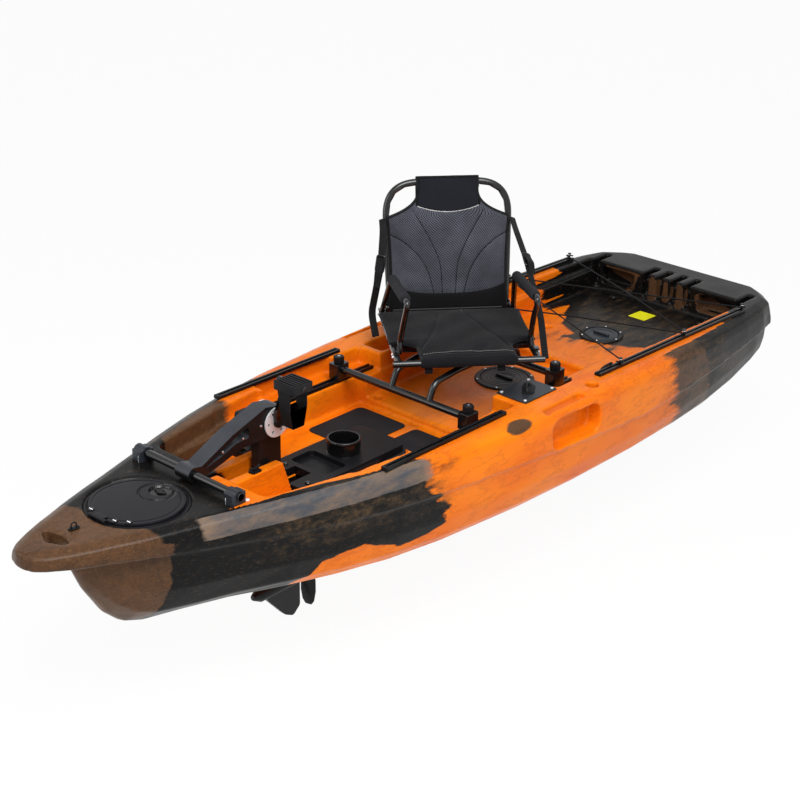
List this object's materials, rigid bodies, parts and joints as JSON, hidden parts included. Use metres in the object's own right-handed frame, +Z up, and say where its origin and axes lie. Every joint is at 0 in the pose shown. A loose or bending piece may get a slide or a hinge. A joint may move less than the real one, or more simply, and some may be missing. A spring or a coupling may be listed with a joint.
{
  "type": "pedal kayak",
  "caption": "Sit-on-top kayak with a clamped pedal drive and propeller in a well, a swivel seat on crossbars, gear tracks, hatches and a tank well under shock cord",
  "frame": {"origin": "amidships on the keel line, on the plane that the cradle or water carries; the drive leg reaches below it", "axes": "+X to the bow, +Y to port, +Z up"},
  "size_m": [3.2, 0.973, 1.1958],
  "materials": {
    "hull_plastic": "rotomoulded polyethylene with dark and sandy marbled patches, satin",
    "black_plastic": "moulded, fine grain, satin",
    "foam_pad": "closed-cell foam, brushed",
    "dark_aluminium": "black anodised and coated, satin",
    "drive_grey": "slate grey paint, satin",
    "bright_aluminium": "turned",
    "steel": "machined",
    "strap_rubber": "moulded, matte",
    "seat_mesh": "coated mesh and woven cloth",
    "webbing": "woven webbing with ribs"
  },
  "bodies": {
    "hull": {"hull_shell": "hull_plastic", "bow_hatch_rim": "black_plastic", "bow_padeye": "black_plastic", "mid_hatch_rim": "black_plastic", "stern_hatch_rim": "black_plastic", "console_tray": "black_plastic", "foot_pad_port": "foam_pad", "foot_pad_starboard": "foam_pad", "gear_track_front_port": "dark_aluminium", "gear_track_front_starboard": "dark_aluminium", "gear_track_rear_port": "dark_aluminium", "gear_track_rear_starboard": "dark_aluminium", "seat_rail_front_port": "dark_aluminium", "seat_rail_front_starboard": "dark_aluminium", "seat_rail_rear_port": "dark_aluminium", "seat_rail_rear_starboard": "dark_aluminium", "accessory_plate": "black_plastic", "drive_bar": "dark_aluminium", "drive_clamp_port": "black_plastic", "drive_clamp_starboard": "black_plastic", "shock_cord_lower": "strap_rubber", "shock_cord_upper": "strap_rubber"},
    "drive": {"drive_arm": "drive_grey", "drive_leg": "black_plastic"},
    "crank": {"crank_axle": "steel", "crank_disc_port": "bright_aluminium", "crank_disc_starboard": "bright_aluminium", "crank_arm_port": "black_plastic", "crank_arm_starboard": "black_plastic", "crank_gear": "steel"},
    "port_pedal": {"pedal_port": "black_plastic", "pedal_strap_port": "strap_rubber"},
    "starboard_pedal": {"pedal_starboard": "black_plastic", "pedal_strap_starboard": "strap_rubber"},
    "upright_shaft": {"drive_shaft": "steel"},
    "screw": {"prop_shaft": "steel", "propeller": "black_plastic"},
    "bow_lid": {"bow_hatch_lid": "black_plastic"},
    "bow_latch": {"bow_hatch_latch": "black_plastic"},
    "mid_cover": {"mid_hatch_cover": "black_plastic"},
    "stern_cover": {"stern_hatch_cover": "black_plastic"},
    "carriage": {"crossbar_front": "dark_aluminium", "crossbar_rear": "dark_aluminium", "seat_base": "dark_aluminium"},
    "knob_front_port": {"clamp_knob_front_port": "black_plastic"},
    "knob_front_starboard": {"clamp_knob_front_starboard": "black_plastic"},
    "knob_rear_port": {"clamp_knob_rear_port": "black_plastic"},
    "knob_rear_starboard": {"clamp_knob_rear_starboard": "black_plastic"},
    "seat": {"seat_frame": "dark_aluminium", "seat_fabric": "seat_mesh", "armrest_port": "dark_aluminium", "armrest_starboard": "dark_aluminium", "armrest_sleeve_port": "foam_pad", "armrest_sleeve_starboard": "foam_pad", "side_strap_port": "webbing"},
    "back": {"back_frame": "dark_aluminium", "back_panel": "seat_mesh", "side_strap_starboard": "webbing"}
  },
  "joints": [
    {"name": "drive_lift", "type": "hinge", "parent": "hull", "child": "drive", "pos_m": [1.01, 0, 0.386], "axis": [0, 1, 0], "range_deg": [0, 18]},
    {"name": "crank_turn", "type": "hinge", "parent": "drive", "child": "crank", "pos_m": [0.688, 0, 0.448], "axis": [0, 1, 0], "continuous": true},
    {"name": "upright_shaft_turn", "type": "hinge", "parent": "drive", "child": "upright_shaft", "pos_m": [0.688, 0, 0.1], "axis": [0, 0, 1], "continuous": true},
    {"name": "screw_turn", "type": "hinge", "parent": "drive", "child": "screw", "pos_m": [0.528, 0, -0.138], "axis": [1, 0, 0], "continuous": true},
    {"name": "port_pedal_turn", "type": "hinge", "parent": "crank", "child": "port_pedal", "pos_m": [0.71108, 0.13, 0.60431], "axis": [0, 1, 0], "range_deg": [-90, 90]},
    {"name": "starboard_pedal_turn", "type": "hinge", "parent": "crank", "child": "starboard_pedal", "pos_m": [0.66492, -0.13, 0.29169], "axis": [0, 1, 0], "range_deg": [-90, 90]},
    {"name": "bow_lid_open", "type": "hinge", "parent": "hull", "child": "bow_lid", "pos_m": [1.336, 0, 0.3636], "axis": [0, 1, 0], "range_deg": [0, 110]},
    {"name": "bow_latch_turn", "type": "hinge", "parent": "bow_lid", "child": "bow_latch", "pos_m": [1.112, 0, 0.36], "axis": [0, 0, 1], "range_deg": [0, 90]},
    {"name": "mid_cover_turn", "type": "hinge", "parent": "hull", "child": "mid_cover", "pos_m": [-0.44, 0, 0.228], "axis": [0, 0, 1], "range_deg": [0, 90]},
    {"name": "stern_cover_turn", "type": "hinge", "parent": "hull", "child": "stern_cover", "pos_m": [-1.012, 0, 0.228], "axis": [0, 0, 1], "range_deg": [0, 90]},
    {"name": "seat_slide", "type": "slide", "parent": "hull", "child": "carriage", "axis": [1, 0, 0], "range_m": [-0.04, 0.06]},
    {"name": "knob_front_port_turn", "type": "hinge", "parent": "carriage", "child": "knob_front_port", "pos_m": [0.098, 0.283, 0.38], "axis": [0, 0, 1], "range_deg": [0, 180]},
    {"name": "knob_front_starboard_turn", "type": "hinge", "parent": "carriage", "child": "knob_front_starboard", "pos_m": [0.098, -0.283, 0.38], "axis": [0, 0, 1], "range_deg": [0, 180]},
    {"name": "knob_rear_port_turn", "type": "hinge", "parent": "carriage", "child": "knob_rear_port", "pos_m": [-0.368, 0.268, 0.38], "axis": [0, 0, 1], "range_deg": [0, 180]},
    {"name": "knob_rear_starboard_turn", "type": "hinge", "parent": "carriage", "child": "knob_rear_starboard", "pos_m": [-0.368, -0.268, 0.38], "axis": [0, 0, 1], "range_deg": [0, 180]},
    {"name": "seat_swivel", "type": "hinge", "parent": "carriage", "child": "seat", "pos_m": [-0.178, 0, 0.44], "axis": [0, 0, 1], "continuous": true},
    {"name": "back_recline", "type": "hinge", "parent": "seat", "child": "back", "pos_m": [-0.31556, -0.16393, 0.489], "axis": [-0.766, 0.6428, 0], "range_deg": [-12, 22]}
  ],
  "couplings": [
    {"joint": "upright_shaft_turn", "follows": "crank_turn", "ratio": 2},
    {"joint": "screw_turn", "follows": "crank_turn", "ratio": 1.6667}
  ]
}
